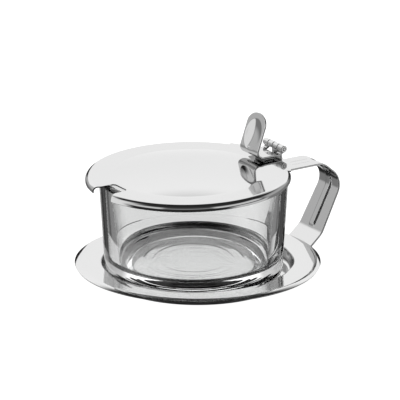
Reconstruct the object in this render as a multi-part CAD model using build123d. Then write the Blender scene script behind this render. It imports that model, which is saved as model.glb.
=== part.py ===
from build123d import *
from math import atan2, cos, degrees, radians, sin, tan
import os

# Grated cheese server. Millimetres, +Z up, base on Z = 0, handle towards +X, spoon notch towards -X.

# Glass bowl: loose in the saucer's well, slightly to the front of its centre
bowl_x = -2.9
bowl_seat_gap = 0.1
bowl_foot_r = 53.6
bowl_flare = 3.7
bowl_height = 63.35
bowl_wall = 3.4
bowl_base_t = 11.0
bowl_corner_r = 6.0
bowl_inner_r = 5.7
bowl_lip_flat = 0.1
bowl_punt_r = 43.0
bowl_punt_depth = 0.5

# Saucer: one pressed sheet with a round well
saucer_t = 0.8
well_clearance = 1.0
well_edge_r = 1.8
well_floor_r = 2.8
rim_top_z = 9.7
rim_flat_width = 13.0
rim_roll_r = 7.6
rim_roll_deg = 36.8

# Lid: one pressed sheet, tilted so its rear sits higher
lid_t = 0.8
lid_setback = 4.0
lid_overhang = 4.7
lid_lift = 1.85
lid_tilt = 0.82
lid_skirt_r = 3.2
lid_skirt_straight = 0.25
dome_r = 46.0
dome_rise = 4.0
dome_slope = 10.5
dome_blend_r = 40.0
dome_slack = 0.2
tab_start_deg = 22.0
skirt_end_deg = 32.0
tab_past_pin = 0.4
tab_half = 8.0
tab_corner_r = 1.5

# Spoon notch in the lid's front edge
notch_depth = 14.6
notch_half = 7.6
notch_corner_r = 2.6
notch_flare_depth = 5.4
notch_flare_r = 5.0
notch_mouth_half = 13.0

# Hinge: rolled knuckles on one pin
pin_back = 1.6
pin_height = 6.3
pin_r = 1.0
pin_half = 10.4
running_gap = 0.05
press_gap = 0.01
knuckle_r = 2.15
knuckle_half = 10.2
knuckle_split = 5.15
knuckle_side_gap = 0.2
centre_slit = 0.3

# Thumb lever: one bent strip that ends in two knuckles
lever_half = 9.8
lever_lean = 19.4
lever_rise = 26.4
lever_top_back = 11.6
lever_lift = 2.4
lever_bend_r = 4.5
lever_oval_h = 7.3
ramp_deg = 30.0
ramp_bend_r = 1.8
plate_end_back = 4.4
dish_half_w = 7.0
dish_half_h = 9.3
dish_depth = 1.2
dish_down = 11.3

# Pad between the lid and the lever
pad_half = 5.0
pad_clearance = 5.9
pad_end_inset = 0.4

# Handle: one bent strip from the hinge to the saucer
handle_t = 1.1
handle_top_half = 10.0
handle_foot_half = 12.4
handle_taper_top = 2.6
top_run_drop = 13.8
tongue_bend_r = 1.5
shoulder_inset = 1.85
elbow_reach = 29.6
elbow_r = 11.0
knee_reach = 44.4
knee_drop = 12.7
knee_r = 11.9
heel_reach = 27.6
heel_rise = 3.8
heel_r = 9.5
toe_inset = 0.5
toe_drop = 3.95
toe_r = 3.0
foot_inset = 1.5
foot_bend_r = 2.5
foot_gap = 3.5
groove_half = 2.75
groove_depth = 0.45
rib_inset = 0.4
groove_start = 6.0
groove_end_rise = 4.3


def face_2d(corners):
    """Flat face from (x, y, radius) corners, each rounded by its radius."""
    points = [Vector(x, y) for x, y, r in corners]
    starts, mids, ends = [], [], []
    for i, corner in enumerate(points):
        radius = corners[i][2]
        back = (points[i - 1] - corner).normalized()
        ahead = (points[(i + 1) % len(points)] - corner).normalized()
        if radius == 0:
            starts.append(corner)
            mids.append(None)
            ends.append(corner)
            continue
        half = radians(back.get_angle(ahead) / 2)
        reach = radius / tan(half)
        centre = corner + (back + ahead).normalized() * (radius / sin(half))
        starts.append(corner + back * reach)
        mids.append(centre + (corner - centre).normalized() * radius)
        ends.append(corner + ahead * reach)
    edges = []
    for i in range(len(points)):
        if mids[i] is not None:
            edges.append(Edge.make_three_point_arc(starts[i], mids[i], ends[i]))
        following = starts[(i + 1) % len(points)]
        if (following - ends[i]).length > 1e-5:
            edges.append(Edge.make_line(ends[i], following))
    return Face(Wire(edges))


def sheet(path, thickness):
    """Corners of a bent sheet: the path is one face, the thickness lies to its left."""
    points = [Vector(x, y) for x, y, r in path]
    far = []
    for i, corner in enumerate(points):
        before = (corner - points[i - 1]).normalized() if i > 0 else None
        after = (points[i + 1] - corner).normalized() if i < len(points) - 1 else None
        before = before or after
        after = after or before
        n1 = Vector(-before.Y, before.X)
        n2 = Vector(-after.Y, after.X)
        moved = corner + (n1 + n2) * (thickness / (1 + n1.dot(n2)))
        turn = before.X * after.Y - before.Y * after.X
        radius = path[i][2]
        if radius > 0:
            radius += -thickness if turn > 0 else thickness
        far.append((moved.X, moved.Y, radius))
    return list(path) + far[::-1]


def turned(corners):
    return revolve(Plane.XZ * face_2d(corners), Axis.Z)


def across(corners, half_width):
    return extrude(Plane.XZ * face_2d(corners), amount=half_width, both=True)


def upright(corners, low, high):
    return extrude(Plane.XY.offset(low) * face_2d(corners), amount=high - low)


def block(x, y, z):
    """Box from three (low, high) pairs."""
    size = [b - a for a, b in (x, y, z)]
    centre = [(a + b) / 2 for a, b in (x, y, z)]
    return Pos(*centre) * Box(*size)


def both_sides(shape):
    return shape + mirror(shape, about=Plane.XZ)


# Places that follow from the sizes
bowl_foot_z = saucer_t + bowl_seat_gap
bowl_top_z = bowl_foot_z + bowl_height
bowl_top_r = bowl_foot_r + bowl_flare
well_r = bowl_foot_r - bowl_x + well_clearance
rim_flat_r = well_r + rim_flat_width
lid_x = bowl_x - lid_setback
lid_r = bowl_top_r + lid_overhang
lid_brim_z = bowl_top_z + lid_lift
pin_x = bowl_x + bowl_top_r + pin_back
pin_z = lid_brim_z + pin_height
lever_under_z = lid_brim_z + lever_lift
lever_t = knuckle_r - pin_r - running_gap
wide = 2 * handle_foot_half


def rod(radius, y0, y1):
    """Round bar on the hinge axis."""
    return Pos(pin_x, (y0 + y1) / 2, pin_z) * Rot(90, 0, 0) * Cylinder(radius, y1 - y0)


# Saucer
roll_reach = rim_roll_r * tan(radians(rim_roll_deg / 2))
roll_corner_r = rim_flat_r + roll_reach
rim_end_r = roll_corner_r + roll_reach * cos(radians(rim_roll_deg))
rim_end_z = rim_top_z - roll_reach * sin(radians(rim_roll_deg))
saucer = turned(sheet([
    (0, saucer_t, 0),
    (well_r, saucer_t, well_floor_r),
    (well_r, rim_top_z, well_edge_r),
    (roll_corner_r, rim_top_z, rim_roll_r),
    (rim_end_r, rim_end_z, 0),
], -saucer_t))

# Glass bowl
bowl_floor_z = bowl_foot_z + bowl_base_t
bowl_floor_r = bowl_foot_r + bowl_flare * bowl_base_t / bowl_height - bowl_wall
lip_r = (bowl_wall - bowl_lip_flat) / 2
glass_bowl = turned([
    (0, bowl_foot_z, 0),
    (bowl_foot_r, bowl_foot_z, bowl_corner_r),
    (bowl_top_r, bowl_top_z, lip_r),
    (bowl_top_r - bowl_wall, bowl_top_z, lip_r),
    (bowl_floor_r, bowl_floor_z, bowl_inner_r),
    (0, bowl_floor_z, 0),
])
glass_bowl -= turned([
    (0, bowl_foot_z - bowl_punt_depth, 0),
    (bowl_punt_r + bowl_punt_depth, bowl_foot_z - bowl_punt_depth, 0),
    (bowl_punt_r, bowl_foot_z + bowl_punt_depth, 0),
    (0, bowl_foot_z + bowl_punt_depth, 0),
])
glass_bowl = Pos(bowl_x, 0, 0) * glass_bowl

# Lid, drawn with the brim's top at zero and then set on its tilt
dome_corner_x = dome_r - dome_rise / tan(radians(dome_slope))
blend_reach = dome_blend_r * tan(radians(dome_slope / 2))
crown_reach = dome_rise / sin(radians(dome_slope)) - blend_reach - dome_slack
crown_r = crown_reach / tan(radians(dome_slope / 2))
lid = turned(sheet([
    (0, dome_rise, 0),
    (dome_corner_x, dome_rise, crown_r),
    (dome_r, 0, dome_blend_r),
    (lid_r, 0, lid_skirt_r),
    (lid_r, -lid_skirt_r - lid_skirt_straight, 0),
], -lid_t))
lid_low = -2 * lid_skirt_r
lid_high = 2 * dome_rise
skirt_inner_r = lid_r - lid_skirt_r
tab_x = pin_x + tab_past_pin - lid_x


def on_rim(angle, share=1.0):
    """Corner at an angle from the rear, at a share of the lid's radius."""
    return (share * lid_r * cos(radians(angle)), share * lid_r * sin(radians(angle)), 0)


def mirror_y(corners):
    return [(x, -y, r) for x, y, r in corners[::-1]]


wedge = upright([(0, 0, 0), on_rim(-skirt_end_deg, 1.3), on_rim(skirt_end_deg, 1.3)], lid_low, lid_high)
lid -= wedge - Cylinder(skirt_inner_r, 3 * lid_high)
mid_deg = (tab_start_deg + skirt_end_deg) / 2
tab_side = [
    (tab_x, tab_half, tab_corner_r),
    on_rim(tab_start_deg),
    on_rim(mid_deg),
    on_rim(skirt_end_deg),
    on_rim(skirt_end_deg, 0.8),
]
lid += upright(mirror_y(tab_side) + tab_side, -lid_t, 0)
notch_inner_x = notch_depth - lid_r
notch_flare_x = notch_flare_depth - lid_r
notch_mouth_x = -lid_r - lid_skirt_r
lid -= upright([
    (notch_inner_x, -notch_half, notch_corner_r),
    (notch_inner_x, notch_half, notch_corner_r),
    (notch_flare_x, notch_half, notch_flare_r),
    (notch_mouth_x, notch_mouth_half, 0),
    (notch_mouth_x, -notch_mouth_half, 0),
    (notch_flare_x, -notch_half, notch_flare_r),
], lid_low, lid_high)
lid = Pos(lid_x, 0, lid_brim_z) * Rot(0, -lid_tilt, 0) * lid

# Thumb lever
lean = radians(lever_lean)
lever_top_x = pin_x - lever_top_back
lever_top_z = lever_under_z + lever_rise
lever_foot_x = lever_top_x - lever_rise * tan(lean)
ramp = radians(ramp_deg)
touch_x = pin_x + knuckle_r * sin(ramp)
touch_z = pin_z - knuckle_r * cos(ramp)
ramp_x = touch_x - (touch_z - lever_under_z) / tan(ramp)
thumb_lever = across(sheet([
    (lever_top_x, lever_top_z, 0),
    (lever_foot_x, lever_under_z, lever_bend_r),
    (ramp_x, lever_under_z, ramp_bend_r),
    (touch_x, touch_z, 0),
], lever_t), lever_half)
knuckle_y = knuckle_split + knuckle_side_gap / 2
plate_end_x = pin_x - plate_end_back
thumb_lever -= block((plate_end_x, pin_x + wide), (-knuckle_y, knuckle_y), (lever_under_z - wide, pin_z))
thumb_lever += both_sides(rod(knuckle_r, knuckle_y, knuckle_half))
thumb_lever -= rod(pin_r + running_gap, -wide, wide)
blade = Plane(
    origin=(lever_top_x, 0, lever_top_z),
    x_dir=(0, -1, 0),
    z_dir=(-cos(lean), 0, sin(lean)),
)
tip = Pos(0, -lever_oval_h / 4) * Rectangle(3 * lever_half, 1.5 * lever_oval_h)
tip -= Pos(0, -lever_oval_h) * Ellipse(lever_half, lever_oval_h)
thumb_lever -= extrude(blade * tip, amount=2 * lever_t, both=True)
dish_r = (dish_half_w**2 + dish_depth**2) / (2 * dish_depth)
ball = scale(Sphere(dish_r), by=(1, dish_half_h / dish_half_w, 1))
ball = blade.location * Pos(0, -dish_down, dish_r - dish_depth) * ball
behind = Pos(0, -dish_down) * Rectangle(3 * dish_half_w, 3 * dish_half_h)
behind = extrude(blade.offset(-lever_t) * behind, amount=-2 * dish_depth)
thumb_lever += (Pos(lever_t * cos(lean), 0, -lever_t * sin(lean)) * ball) & behind
thumb_lever -= ball


# Pad between the lid's brim and the lever
def brim_z(x):
    return lid_brim_z + (x - lid_x) * tan(radians(lid_tilt))


pad_start = lid_x + dome_r + pad_clearance
pad_end = plate_end_x - pad_end_inset
lever_pad = across([
    (pad_start, brim_z(pad_start), 0),
    (pad_end, brim_z(pad_end), 0),
    (pad_end, lever_under_z, 0),
    (pad_start, lever_under_z, 0),
], pad_half)

# Handle
top_run_z = pin_z - top_run_drop
tongue_x = pin_x + knuckle_r
foot_z = rim_top_z - saucer_t - handle_t
outer_path = [
    (tongue_x, pin_z, 0),
    (tongue_x, top_run_z, tongue_bend_r),
    (pin_x + elbow_reach, top_run_z, elbow_r),
    (pin_x + knee_reach, top_run_z - knee_drop, knee_r),
    (pin_x + heel_reach, rim_top_z + heel_rise, heel_r),
    (rim_end_r - toe_inset, rim_top_z - toe_drop, toe_r),
    (rim_flat_r - foot_inset, foot_z, foot_bend_r),
    (well_r + foot_gap, foot_z, 0),
]
strip = across(sheet(outer_path, -handle_t), handle_foot_half)
taper_top_z = top_run_z - handle_taper_top
width_half = [
    (handle_top_half, pin_z + wide),
    (handle_top_half, taper_top_z),
    (handle_foot_half, rim_top_z),
    (handle_foot_half, -wide),
]
widths = [(-y, z, 0) for y, z in width_half] + [(y, z, 0) for y, z in width_half[::-1]]
handle = strip & extrude(Plane.YZ * face_2d(widths), amount=2 * (pin_x + knee_reach))
tongue_y = knuckle_split - knuckle_side_gap / 2
shoulder_x = tongue_x + shoulder_inset
shoulder = block((pin_x - wide, shoulder_x), (tongue_y, wide), (top_run_z - wide / 2, pin_z + wide))
handle -= both_sides(shoulder)
handle += rod(knuckle_r, -tongue_y, tongue_y)
handle -= rod(pin_r + press_gap, -wide, wide)
slit_x = (pin_x - wide, shoulder_x)
handle -= block(slit_x, (-centre_slit / 2, centre_slit / 2), (pin_z - 3 * knuckle_r, pin_z + wide))
groove_x = (shoulder_x + groove_start, pin_x + 2 * knee_reach)
groove_zone = block(groove_x, (-wide, wide), (rim_top_z + groove_end_rise, pin_z + wide))
rib = across(sheet(outer_path, -handle_t - groove_depth), groove_half - rib_inset)
groove = across(sheet(outer_path, -groove_depth), groove_half)
handle += rib & groove_zone
handle -= groove & groove_zone

# Hinge pin
hinge_pin = rod(pin_r, -pin_half, pin_half)

nodes = {
    "saucer": saucer,
    "glass_bowl": glass_bowl,
    "handle": handle,
    "hinge_pin": hinge_pin,
    "lid": lid,
    "lever_pad": lever_pad,
    "thumb_lever": thumb_lever,
}
os.makedirs("parts", exist_ok=True)
for name, shape in nodes.items():
    box = shape.bounding_box()
    print(name, len(shape.solids()), round(shape.volume, 1), box.min, box.max)
    export_step(shape, "parts/" + name + ".step")
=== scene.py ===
import bpy
import bmesh
from math import ceil, cos, pi, radians, sin, sqrt, tan
from mathutils import Matrix, Vector


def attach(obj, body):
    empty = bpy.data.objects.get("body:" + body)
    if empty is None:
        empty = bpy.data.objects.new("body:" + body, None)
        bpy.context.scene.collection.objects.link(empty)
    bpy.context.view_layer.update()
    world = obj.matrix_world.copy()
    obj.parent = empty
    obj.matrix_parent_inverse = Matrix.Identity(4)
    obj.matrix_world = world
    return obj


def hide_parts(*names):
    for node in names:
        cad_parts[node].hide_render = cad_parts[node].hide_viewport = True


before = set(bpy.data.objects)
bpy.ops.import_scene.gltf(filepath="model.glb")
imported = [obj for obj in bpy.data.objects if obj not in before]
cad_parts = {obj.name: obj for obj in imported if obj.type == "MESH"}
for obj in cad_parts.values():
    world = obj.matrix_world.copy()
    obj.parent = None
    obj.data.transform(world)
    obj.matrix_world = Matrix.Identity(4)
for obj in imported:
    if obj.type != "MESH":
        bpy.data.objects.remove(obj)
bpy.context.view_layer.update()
scene = bpy.context.scene


# Polished steel. Every sheet-metal piece is pressed stainless steel with a
# mirror finish: faint waviness from the press, fine polishing lines and a
# slight change of tint.
def steel(name, tone, roughness, wave, scratch):
    """Mirror steel of a grey tone; wave and scratch are bump heights in metres."""
    mat = bpy.data.materials.new(name)
    mat.use_nodes = True
    tree = mat.node_tree
    shader = tree.nodes["Principled BSDF"]
    shader.inputs["Metallic"].default_value = 1.0
    shader.inputs["Specular Tint"].default_value = (0.8, 0.8, 0.8, 1)
    coords = tree.nodes.new("ShaderNodeTexCoord")
    broad = tree.nodes.new("ShaderNodeTexNoise")
    broad.inputs["Scale"].default_value = 35.0
    broad.inputs["Detail"].default_value = 1.0
    fine = tree.nodes.new("ShaderNodeTexNoise")
    fine.inputs["Scale"].default_value = 900.0
    fine.inputs["Detail"].default_value = 3.0
    tint = tree.nodes.new("ShaderNodeValToRGB")
    tint.color_ramp.elements[0].color = [tone * 0.98] * 3 + [1]
    tint.color_ramp.elements[1].color = [tone] * 3 + [1]
    rough = tree.nodes.new("ShaderNodeMapRange")
    rough.inputs["To Min"].default_value = roughness * 0.6
    rough.inputs["To Max"].default_value = roughness * 1.4
    bump_broad = tree.nodes.new("ShaderNodeBump")
    bump_broad.inputs["Strength"].default_value = 1.0
    bump_broad.inputs["Distance"].default_value = wave
    bump_fine = tree.nodes.new("ShaderNodeBump")
    bump_fine.inputs["Strength"].default_value = 1.0
    bump_fine.inputs["Distance"].default_value = scratch
    link = tree.links.new
    link(coords.outputs["Object"], broad.inputs["Vector"])
    link(coords.outputs["Object"], fine.inputs["Vector"])
    link(broad.outputs["Fac"], tint.inputs["Fac"])
    link(tint.outputs["Color"], shader.inputs["Base Color"])
    link(fine.outputs["Fac"], rough.inputs["Value"])
    link(rough.outputs["Result"], shader.inputs["Roughness"])
    link(broad.outputs["Fac"], bump_broad.inputs["Height"])
    link(fine.outputs["Fac"], bump_fine.inputs["Height"])
    link(bump_broad.outputs["Normal"], bump_fine.inputs["Normal"])
    link(bump_fine.outputs["Normal"], shader.inputs["Normal"])
    return mat


# Saucer: one round plate of 0.8 mm sheet with a flat well for the bowl, a
# flat rim and a rolled edge. It is pressed in one stroke and stands on the
# table on the well's underside.
def bend(corners, step=radians(4)):
    """Points in mm along (x, y, radius) corners; each corner turns on an arc."""
    points = []
    for i, (x, y, radius) in enumerate(corners):
        corner = Vector((x, y))
        if radius == 0:
            points.append(corner)
            continue
        back = (Vector(corners[i - 1][:2]) - corner).normalized()
        ahead = (Vector(corners[(i + 1) % len(corners)][:2]) - corner).normalized()
        half = back.angle(ahead) / 2
        centre = corner + (back + ahead).normalized() * radius / sin(half)
        start = corner + back * radius / tan(half)
        arm = start - centre
        turn = pi - 2 * half
        if back.x * ahead.y - back.y * ahead.x > 0:
            turn = -turn
        count = max(2, ceil(abs(turn) / step))
        points.append(start + back * 0.02)
        for k in range(count + 1):
            c, s = cos(turn * k / count), sin(turn * k / count)
            points.append(centre + Vector((arm.x * c - arm.y * s, arm.x * s + arm.y * c)))
        points.append(corner + ahead * (radius / tan(half) + 0.02))
    return points


def finish_piece(name, corners, faces, node, body, slot, mat):
    """Closed smooth mesh from corners in mm, set in for a CAD node."""
    mesh = bpy.data.meshes.new(name)
    mesh.from_pydata([Vector(c) / 1000 for c in corners], [], faces)
    work = bmesh.new()
    work.from_mesh(mesh)
    bmesh.ops.remove_doubles(work, verts=work.verts, dist=1e-7)
    bmesh.ops.recalc_face_normals(work, faces=work.faces)
    work.to_mesh(mesh)
    work.free()
    mesh.shade_smooth()
    mesh.set_sharp_from_angle(angle=radians(35))
    obj = bpy.data.objects.new(name, mesh)
    scene.collection.objects.link(obj)
    mesh.materials.append(mat)
    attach(obj, body)
    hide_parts(node)
    return obj


def lathe(outline, count):
    """Corners and faces of an outline turned about Z; it starts and ends on the axis."""
    corners = [(0, 0, outline[0][1])]
    for r, z in outline[1:-1]:
        corners += [(r * cos(2 * pi * k / count), r * sin(2 * pi * k / count), z) for k in range(count)]
    corners.append((0, 0, outline[-1][1]))
    rings = len(outline) - 2
    top = len(corners) - 1
    faces = []
    for k in range(count):
        n = (k + 1) % count
        faces.append((0, 1 + k, 1 + n))
        for i in range(rings - 1):
            a = 1 + i * count
            faces.append((a + k, a + count + k, a + count + n, a + n))
        a = 1 + (rings - 1) * count
        faces.append((a + k, top, a + n))
    return corners, faces


saucer_t = 0.8
well_r = 57.5
rim_flat_r = 70.5
rim_z = 9.7
roll_r = 7.6
roll_turn = radians(32)
roll_reach = roll_r * tan(roll_turn / 2)
roll_x = rim_flat_r + roll_reach
edge_x = roll_x + roll_reach * cos(roll_turn)
edge_z = rim_z - roll_reach * sin(roll_turn)
saucer = bend([
    (0, saucer_t, 0), (well_r, saucer_t, 2.8), (well_r, rim_z, 1.8), (roll_x, rim_z, roll_r),
    (edge_x, edge_z, 0.3),
    (edge_x - saucer_t * sin(roll_turn), edge_z - saucer_t * cos(roll_turn), 0.3),
    (roll_x - saucer_t * tan(roll_turn / 2), rim_z - saucer_t, roll_r - saucer_t),
    (well_r + saucer_t, rim_z - saucer_t, 1.0), (well_r + saucer_t, 0, 3.6), (0, 0, 0),
])
saucer_steel = steel("saucer_steel", tone=0.63, roughness=0.05, wave=1e-5, scratch=5e-7)
finish_piece("saucer_plate", *lathe(saucer, 256), "saucer", "stand", "saucer_steel", saucer_steel)


# Glass bowl: thick clear pressed glass with slightly flared walls, a heavy
# base with faint rings from the mould and a fire-rounded lip. It stands
# loose in the saucer's well.
def clamp(value):
    return min(1, max(0, value))


bowl_x = -2.9
foot_z = 0.9
lip_z = 64.25
hollow_z = foot_z + 2.5
inside_z = foot_z + 11.0
bowl = bend([
    (0, hollow_z, 0), (38.0, hollow_z, 1.5), (42.0, foot_z, 1.5), (53.6, foot_z, 6.0),
    (57.3, lip_z, 2.1), (52.7, lip_z, 2.1), (46.3, inside_z, 4.5), (0, inside_z, 0),
])
mould_rings = []
for k in range(1, 71):
    r = k / 2
    fade = clamp((r - 14) / 8) * clamp((36 - r) / 3)
    ripple = 0.035 * sin(r * 0.9) + 0.02 * sin(r * 2.1 + 1)
    mould_rings.append(Vector((r, hollow_z + fade * ripple)))
bowl = bowl[:1] + mould_rings + bowl[1:]
glass = bpy.data.materials.new("clear_glass")
glass.use_nodes = True
tree = glass.node_tree
shader = tree.nodes["Principled BSDF"]
shader.inputs["Base Color"].default_value = (0.968, 0.971, 0.97, 1)
shader.inputs["Roughness"].default_value = 0.0
shader.inputs["IOR"].default_value = 1.5
shader.inputs["Transmission Weight"].default_value = 1.0
coords = tree.nodes.new("ShaderNodeTexCoord")
broad = tree.nodes.new("ShaderNodeTexNoise")
broad.inputs["Scale"].default_value = 22.0
broad.inputs["Detail"].default_value = 1.0
bump = tree.nodes.new("ShaderNodeBump")
bump.inputs["Strength"].default_value = 1.0
bump.inputs["Distance"].default_value = 0.00006
tree.links.new(coords.outputs["Object"], broad.inputs["Vector"])
tree.links.new(broad.outputs["Fac"], bump.inputs["Height"])
tree.links.new(bump.outputs["Normal"], shader.inputs["Normal"])
corners, faces = lathe(bowl, 256)
corners = [(x + bowl_x, y, z) for x, y, z in corners]
finish_piece("bowl_glass", corners, faces, "glass_bowl", "bowl", "glass", glass)

# Lid: one pressed sheet, a low dome with a flat brim and a short rolled
# skirt. A notch for the spoon is cut in its front, and at the rear the skirt
# is cut away so that it clears the bowl when it opens.
lid_x = -6.9
lid_z = 66.1
lid_tilt = radians(0.82)
lid_t = 0.8
lid_r = 62.0
skirt_bend_r = 3.2
skirt_z = -4.05
dome_r = 46.0
dome_rise = 4.0
dome_slope = radians(10.5)
dome_bend_r = 12.0
half_tan = tan(dome_slope / 2)
crown_reach = dome_rise / sin(dome_slope) - dome_bend_r * half_tan - 0.2
crown_r = crown_reach / half_tan
crown_x = dome_r - dome_rise / tan(dome_slope)
lid_outline = bend([
    (0, dome_rise, 0), (crown_x, dome_rise, crown_r), (dome_r, 0, dome_bend_r),
    (lid_r, 0, skirt_bend_r), (lid_r, skirt_z, 0.3), (lid_r - lid_t, skirt_z, 0.3),
    (lid_r - lid_t, -lid_t, skirt_bend_r - lid_t),
    (dome_r - lid_t * half_tan, -lid_t, dome_bend_r + lid_t),
    (crown_x - lid_t * half_tan, dome_rise - lid_t, crown_r - lid_t), (0, dome_rise - lid_t, 0),
], radians(1.5))
lid_steel = steel("lid_steel", tone=0.63, roughness=0.05, wave=1e-5, scratch=5e-7)
lid = finish_piece("lid_dome", *lathe(lid_outline, 384), "lid", "cover", "lid_steel", lid_steel)


def cutter(name, outline, low, high):
    """Upright prism with an outline in mm, for cutting the lid."""
    count = len(outline)
    corners = [(x, y, z) for z in (low, high) for x, y in outline]
    faces = [tuple(range(count)), tuple(range(count, 2 * count))]
    faces += [(i, (i + 1) % count, count + (i + 1) % count, count + i) for i in range(count)]
    mesh = bpy.data.meshes.new(name)
    mesh.from_pydata([Vector(c) / 1000 for c in corners], [], faces)
    work = bmesh.new()
    work.from_mesh(mesh)
    bmesh.ops.recalc_face_normals(work, faces=work.faces)
    work.to_mesh(mesh)
    work.free()
    obj = bpy.data.objects.new(name, mesh)
    scene.collection.objects.link(obj)
    return obj


def carve(obj, tool, operation):
    """Boolean of one object with another, which is then removed."""
    change = obj.modifiers.new("carve", "BOOLEAN")
    change.operation = operation
    change.solver = "EXACT"
    change.object = tool
    depsgraph = bpy.context.evaluated_depsgraph_get()
    mesh = bpy.data.meshes.new_from_object(obj.evaluated_get(depsgraph))
    obj.modifiers.clear()
    old = obj.data
    obj.data = mesh
    bpy.data.meshes.remove(old)
    bpy.data.objects.remove(tool)


rear_end = radians(32.0)


def rear_arc(radius):
    """Points of an arc round the lid's rear, from -Y to +Y."""
    return [(radius * cos(rear_end * k / 16), radius * sin(rear_end * k / 16)) for k in range(-16, 17)]


notch_half = 7.6
notch = bend([
    (-47.4, -notch_half, 2.6), (-47.4, notch_half, 2.6), (-56.6, notch_half, 5.0),
    (-65.2, 13.0, 0), (-65.2, -13.0, 0), (-56.6, -notch_half, 5.0),
], radians(6))
carve(lid, cutter("notch_cut", notch, -9, 9), "DIFFERENCE")
carve(lid, cutter("rear_cut", rear_arc(58.8) + rear_arc(80.0)[::-1], -9, 9), "DIFFERENCE")
tab_x = 56.4 - lid_x
tab_half = 8.0
tab_bevel = 0.44
rim_part = [(lid_r * cos(radians(a)), lid_r * sin(radians(a))) for a in (-32, -27, -22)]
tab = rear_arc(58.5)[::-1] + rim_part
tab += [(tab_x - tab_bevel, -tab_half), (tab_x, tab_bevel - tab_half)]
tab += [(tab_x, tab_half - tab_bevel), (tab_x - tab_bevel, tab_half)]
tab += [(x, -y) for x, y in rim_part[::-1]]
carve(lid, cutter("rear_tab", tab, -lid_t, 0.0), "UNION")
lid.data.transform(
    Matrix.Translation((lid_x / 1000, 0, lid_z / 1000)) @ Matrix.Rotation(-lid_tilt, 4, "Y"))
lid.data.shade_smooth()
lid.data.set_sharp_from_angle(angle=radians(30))
lid.data.materials.clear()
lid.data.materials.append(lid_steel)


# Thumb lever: one strip of 1.1 mm sheet, bent up into a leaf with an oval
# top and a pressed thumb dish. Two arms at its rear are rolled into the
# hinge's outer knuckles. It is spot-welded to the lid through a small pad.
def sweep(path, section):
    """Closed strip along (x, z) points; section(i) gives (offset to the left, y) points."""
    corners, faces = [], []
    for i, point in enumerate(path):
        before = (point - path[i - 1]).normalized() if i > 0 else None
        after = (path[i + 1] - point).normalized() if i < len(path) - 1 else None
        along = ((before or after) + (after or before)).normalized()
        left = Vector((-along.y, along.x))
        ring = section(i)
        corners += [(point.x + left.x * o, y, point.y + left.y * o) for o, y in ring]
    count = len(ring)
    for i in range(len(path) - 1):
        a = i * count
        for k in range(count):
            n = (k + 1) % count
            faces.append((a + k, a + count + k, a + count + n, a + n))
    faces.append(tuple(range(count)))
    faces.append(tuple(range((len(path) - 1) * count, len(path) * count)))
    return corners, faces


def strip_ring(half, thick, across, lift, edge):
    """Ring of a strip's section: the far face, a round edge, the near face, a round edge."""
    flat = half - edge
    ring = [(lift(flat * k / across), flat * k / across) for k in range(-across, across + 1)]
    for k in range(1, 6):
        a = pi * k / 6
        ring.append((lift(flat) + thick / 2 - thick / 2 * cos(a), flat + edge * sin(a)))
    ring += [(lift(flat * k / across) + thick, flat * k / across) for k in range(across, -across - 1, -1)]
    for k in range(1, 6):
        a = pi * k / 6
        ring.append((lift(flat) + thick / 2 + thick / 2 * cos(a), -flat - edge * sin(a)))
    return ring


def level(y):
    return 0.0


def subdivide(path, step):
    """The path with points no further apart than the step."""
    points = [path[0]]
    for point in path[1:]:
        start = points[-1]
        gap = point - start
        count = max(1, ceil(gap.length / step))
        points += [start + gap * k / count for k in range(1, count + 1)]
    return points


lever_t = 1.1
lever_half = 9.8
lever_foot_z = 68.5
lever_top_x = 44.4
lever_top = Vector((lever_top_x, 94.9))
lean = radians(19.4)
leaf_foot = Vector((lever_top_x - 26.4 * tan(lean), lever_foot_z))
leaf_down = (leaf_foot - lever_top).normalized()
leaf = subdivide(bend([(*lever_top, 0), (*leaf_foot, 4.5), (51.6, lever_foot_z, 0)]), 0.35)
leaf[0] = lever_top + leaf_down * 0.01
oval = 7.3
dish_at, dish_w, dish_h, dish_d = 13.6, 7.9, 9.9, 1.5


def leaf_section(i):
    down = (leaf[i] - lever_top).dot(leaf_down)
    half = lever_half
    if down < oval:
        half *= sqrt(1 - ((oval - down) / oval) ** 2)

    def lift(y):
        inside = 1 - (y / dish_w) ** 2 - ((down - dish_at) / dish_h) ** 2
        return dish_d * (inside + sqrt(inside * inside + 0.01)) / 2 if inside > -0.6 else 0.0

    return strip_ring(half, lever_t, 24, lift, min(0.45, half * 0.4))


lever_steel = steel("lever_steel", tone=0.62, roughness=0.06, wave=6e-6, scratch=8e-7)
finish_piece("lever_leaf", *sweep(leaf, leaf_section), "thumb_lever", "cover", "lever_steel", lever_steel)

pin_x, pin_z = 56.0, 72.4
knuckle_r = 2.15


def knuckle(y0, y1, inner_r):
    """Rolled tube on the hinge axis with rounded ends."""
    ring = bend([(y0, inner_r, 0.15), (y0, knuckle_r, 0.35), (y1, knuckle_r, 0.35), (y1, inner_r, 0.15)],
                radians(15))
    count = 64
    corners = [(pin_x + r * cos(2 * pi * k / count), y, pin_z + r * sin(2 * pi * k / count))
               for y, r in ring for k in range(count)]
    faces = []
    for i in range(len(ring)):
        for k in range(count):
            a, b, n = i * count, (i + 1) % len(ring) * count, (k + 1) % count
            faces.append((a + k, b + k, b + n, a + n))
    return corners, faces


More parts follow.
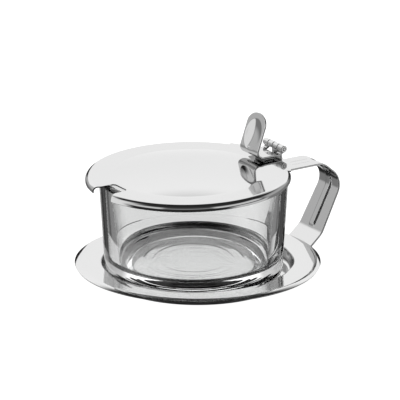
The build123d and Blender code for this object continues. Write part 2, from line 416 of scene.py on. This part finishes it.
arm_inner = 5.25
arm_path = bend([(51.5, lever_foot_z, 0), (53.846, lever_foot_z, 1.8), (57.075, 70.538, 0)])
arm_path = subdivide(arm_path, 0.35)
for side, sign in (("left", 1), ("right", -1)):
    arm_y = sign * (arm_inner + lever_half) / 2
    arm_half = (lever_half - arm_inner) / 2
    arm_ring = [(o, y + arm_y) for o, y in strip_ring(arm_half, lever_t, 6, level, 0.4)]
    finish_piece("lever_arm_" + side, *sweep(arm_path, lambda i: arm_ring),
                 "thumb_lever", "cover", "lever_steel", lever_steel)
    y0, y1 = sorted((sign * arm_inner, sign * 10.2))
    finish_piece("lever_knuckle_" + side, *knuckle(y0, y1, 1.05),
                 "thumb_lever", "cover", "lever_steel", lever_steel)

# Pad: a small plate that lies between the lid's brim and the lever and takes
# the spot welds.
pad_ends = [Vector((x, lid_z + (x - lid_x) * tan(lid_tilt))) for x in (45.0, 51.2)]
pad_path = subdivide(pad_ends, 0.5)


def pad_section(i):
    return strip_ring(5.0, lever_foot_z - pad_path[i].y, 8, level, 0.35)


pad_steel = steel("pad_steel", tone=0.6, roughness=0.10, wave=1e-5, scratch=1e-6)
finish_piece("weld_pad", *sweep(pad_path, pad_section), "lever_pad", "cover", "lid_steel", pad_steel)

# Handle: one strip of 1.1 mm sheet with a rounded rib pressed along it. It
# leaves the hinge's middle knuckles, turns back, down and in, and its foot is
# spot-welded under the saucer's rim.
handle_t = 1.1
neck_half = 5.05
top_z = 58.6
rib_half = 3.4
route = bend([
    (58.15, 71.9, 0), (58.15, top_z, 1.5), (85.6, top_z, 11.0), (100.4, 45.9, 11.9),
    (83.6, 13.5, 14.0), (74.55, 5.75, 3.0), (69.0, 7.8, 2.5), (61.0, 7.8, 0),
])
route = subdivide(route, 0.4)
run = [0.0]
for a, b in zip(route, route[1:]):
    run.append(run[-1] + (b - a).length)
shoulder = min(i for i, p in enumerate(route) if p.x > 60.0)
route.insert(shoulder, route[shoulder] - Vector((0.02, 0)))
run.insert(shoulder, run[shoulder] - 0.02)
rib_start = run[shoulder] + 6.0
rib_end = max(run[i] for i, p in enumerate(route) if p.y > 14.0)


def smooth(value):
    return value * value * (3 - 2 * value)


def handle_section(i):
    z = route[i].y
    half = 10.0 + 2.4 * clamp((56.0 - z) / 46.3)
    if i <= shoulder:
        half = neck_half
    fade = smooth(clamp((run[i] - rib_start) / 3) * clamp((rib_end - run[i]) / 3))
    depth = 0.32 + 0.43 * clamp((top_z - z) / 8)

    def lift(y):
        share = min(1, abs(y) / rib_half)
        return -handle_t - depth * fade * smooth(clamp((1 - share) / 0.55))

    return strip_ring(half, handle_t, 40, lift, 0.4)


handle_steel = steel("handle_steel", tone=0.62, roughness=0.07, wave=8e-6, scratch=1e-6)
finish_piece("handle_strip", *sweep(route, handle_section), "handle", "stand", "handle_steel", handle_steel)
for side, y0, y1 in (("left", 0.15, neck_half), ("right", -neck_half, -0.15)):
    finish_piece("handle_knuckle_" + side, *knuckle(y0, y1, 1.01),
                 "handle", "stand", "handle_steel", handle_steel)

# Hinge pin: a turned steel rod through all four knuckles, with its ends
# slightly domed.
pin_r = 1.0
pin_end = 10.4
pin = bend([(0, pin_end, 0), (pin_r, pin_end, 0.45), (pin_r, -pin_end, 0.45), (0, -pin_end, 0)], radians(10))
corners, faces = lathe(pin, 48)
corners = [(x + pin_x, z, y + pin_z) for x, y, z in corners]
pin_steel = steel("pin_steel", tone=0.6, roughness=0.15, wave=1e-5, scratch=2e-6)
finish_piece("pin_rod", corners, faces, "hinge_pin", "stand", "pin_steel", pin_steel)

# Floor: plain pale ground that steel and glass look past, into the studio.
reach = 9
floor_mesh = bpy.data.meshes.new("floor")
floor_mesh.from_pydata([(-reach, -reach, 0), (reach, -reach, 0), (reach, reach, 0), (-reach, reach, 0)],
                       [], [(0, 1, 2, 3)])
floor = bpy.data.objects.new("floor", floor_mesh)
scene.collection.objects.link(floor)
pale = bpy.data.materials.new("floor_pale")
pale.use_nodes = True
shader = pale.node_tree.nodes["Principled BSDF"]
shader.inputs["Base Color"].default_value = (0.3, 0.3, 0.3, 1)
shader.inputs["Roughness"].default_value = 0.9
shader.inputs["Specular IOR Level"].default_value = 0.0
shader.inputs["Emission Color"].default_value = (1, 1, 1, 1)
shader.inputs["Emission Strength"].default_value = 1.0
floor_mesh.materials.append(pale)
floor.visible_glossy = False
floor.visible_transmission = False

# Camera at the photograph's angle, 2.5 m from the object's middle.
azimuth = radians(-33.0)
elevation = radians(18.7)
middle = Vector((0, 0, 0.0375))
back = Vector((sin(azimuth) * cos(elevation), -cos(azimuth) * cos(elevation), sin(elevation)))
right = Vector((cos(azimuth), sin(azimuth), 0))
up = back.cross(right)
camera_data = bpy.data.cameras.new("camera")
camera_data.sensor_width = 36.0
camera_data.lens = 372.55
camera_data.clip_end = 50.0
camera = bpy.data.objects.new("camera", camera_data)
scene.collection.objects.link(camera)
camera.location = middle + 2.5 * back
aim = middle + 0.00142 * right + 0.00937 * up
camera.rotation_mode = "QUATERNION"
camera.rotation_quaternion = (aim - camera.location).to_track_quat("-Z", "Y")
scene.camera = camera

# Studio: large soft panels around the object, each given by its bearing from
# straight behind the object, its height and its brightness. Between them the
# room is dark, which draws the black lines in the steel.
world = bpy.data.worlds.new("studio")
world.use_nodes = True
scene.world = world
tree = world.node_tree
coords = tree.nodes.new("ShaderNodeTexCoord")


def facing(direction):
    dot = tree.nodes.new("ShaderNodeVectorMath")
    dot.operation = "DOT_PRODUCT"
    dot.inputs[1].default_value = direction
    tree.links.new(coords.outputs["Generated"], dot.inputs[0])
    return dot.outputs["Value"]


def ramp(value, low, high, start, end):
    node = tree.nodes.new("ShaderNodeMapRange")
    node.interpolation_type = "SMOOTHSTEP"
    node.inputs["From Min"].default_value = low
    node.inputs["From Max"].default_value = high
    node.inputs["To Min"].default_value = start
    node.inputs["To Max"].default_value = end
    tree.links.new(value, node.inputs["Value"])
    return node.outputs["Result"]


def combine(operation, a, b):
    node = tree.nodes.new("ShaderNodeMath")
    node.operation = operation
    for socket, value in zip(node.inputs, (a, b)):
        if isinstance(value, float):
            socket.default_value = value
        else:
            tree.links.new(value, socket)
    return node.outputs[0]


away = Vector((-sin(azimuth), cos(azimuth), 0))
height = facing((0, 0, 1))
bearing = combine("MULTIPLY", combine("ARCTAN2", facing(right), facing(away)), 180 / pi)


def panel(left, left_soft, right_end, right_soft, low, low_soft, high, high_soft, strength):
    """Brightness of one panel; bearings in degrees, heights as the sine of the elevation."""
    across = combine("MULTIPLY", ramp(bearing, left - left_soft, left, 0.0, 1.0),
                     ramp(bearing, right_end, right_end + right_soft, 1.0, 0.0))
    rise = combine("MULTIPLY", ramp(height, low - low_soft, low, 0.0, 1.0),
                   ramp(height, high, high + high_soft, strength, 0.0))
    return combine("MULTIPLY", across, rise)


panels = [panel(*row) for row in (
    # straight behind: the main panel, a strip under it and a low one behind the glass
    (-32.0, 20.0, 32.0, 20.0, 0.24, 0.03, 0.57, 0.22, 1.33),
    (-7.5, 1.0, 7.5, 1.0, -0.06, 0.10, 0.40, 0.1, 1.33),
    (-10.0, 20.0, 12.0, 22.0, -0.52, 0.08, -0.12, 0.1, 0.8),
    # left: high, middle and low behind, then the side
    (-72.0, 10.0, -24.0, 8.0, 0.50, 0.22, 0.62, 0.15, 1.25),
    (-72.0, 10.0, -24.0, 8.0, 0.06, 0.30, 0.62, 0.15, 0.62),
    (-76.0, 10.0, -34.0, 8.0, -0.50, 0.10, 0.10, 0.2, 0.25),
    (-101.0, 18.0, -80.0, 6.0, -0.42, 0.15, 0.60, 0.3, 1.05),
    # right: middle and low behind, then the side
    (38.0, 12.0, 80.0, 15.0, 0.05, 0.15, 0.35, 0.3, 0.5),
    (34.0, 8.0, 85.0, 10.0, -0.55, 0.10, 0.10, 0.2, 0.25),
    (85.0, 12.0, 118.0, 20.0, -0.60, 0.20, -0.15, 0.15, 0.75),
    # a dim band all round and two panels beside the camera
    (-180.0, 1.0, 180.0, 1.0, 0.25, 0.06, 0.43, 0.08, 0.3),
    (96.0, 10.0, 146.0, 12.0, 0.16, 0.08, 0.50, 0.20, 0.8),
    (-146.0, 12.0, -96.0, 10.0, 0.16, 0.08, 0.50, 0.20, 0.8),
)]
front = combine("MULTIPLY", ramp(height, 0.05, 0.20, 0.0, 1.0), ramp(height, 0.70, 0.90, 1.0, 0.0))
panels.append(combine("MULTIPLY", ramp(facing(away), -0.5, -0.1, 0.05, 0.0), front))
light = panels[0]
for extra in panels[1:]:
    light = combine("MAXIMUM", light, extra)
light = combine("ADD", light, 0.03)
background = tree.nodes["Background"]
background.inputs["Color"].default_value = (1, 1, 1, 1)
tree.links.new(light, background.inputs["Strength"])

lamp_data = bpy.data.lights.new("ceiling_softbox", "AREA")
lamp_data.shape = "SQUARE"
lamp_data.size = 3.0
lamp_data.energy = 60.0
lamp = bpy.data.objects.new("ceiling_softbox", lamp_data)
lamp.location = (0, 0, 2.5)
lamp.visible_glossy = False
lamp.visible_transmission = False
scene.collection.objects.link(lamp)
scene.view_settings.view_transform = "Standard"
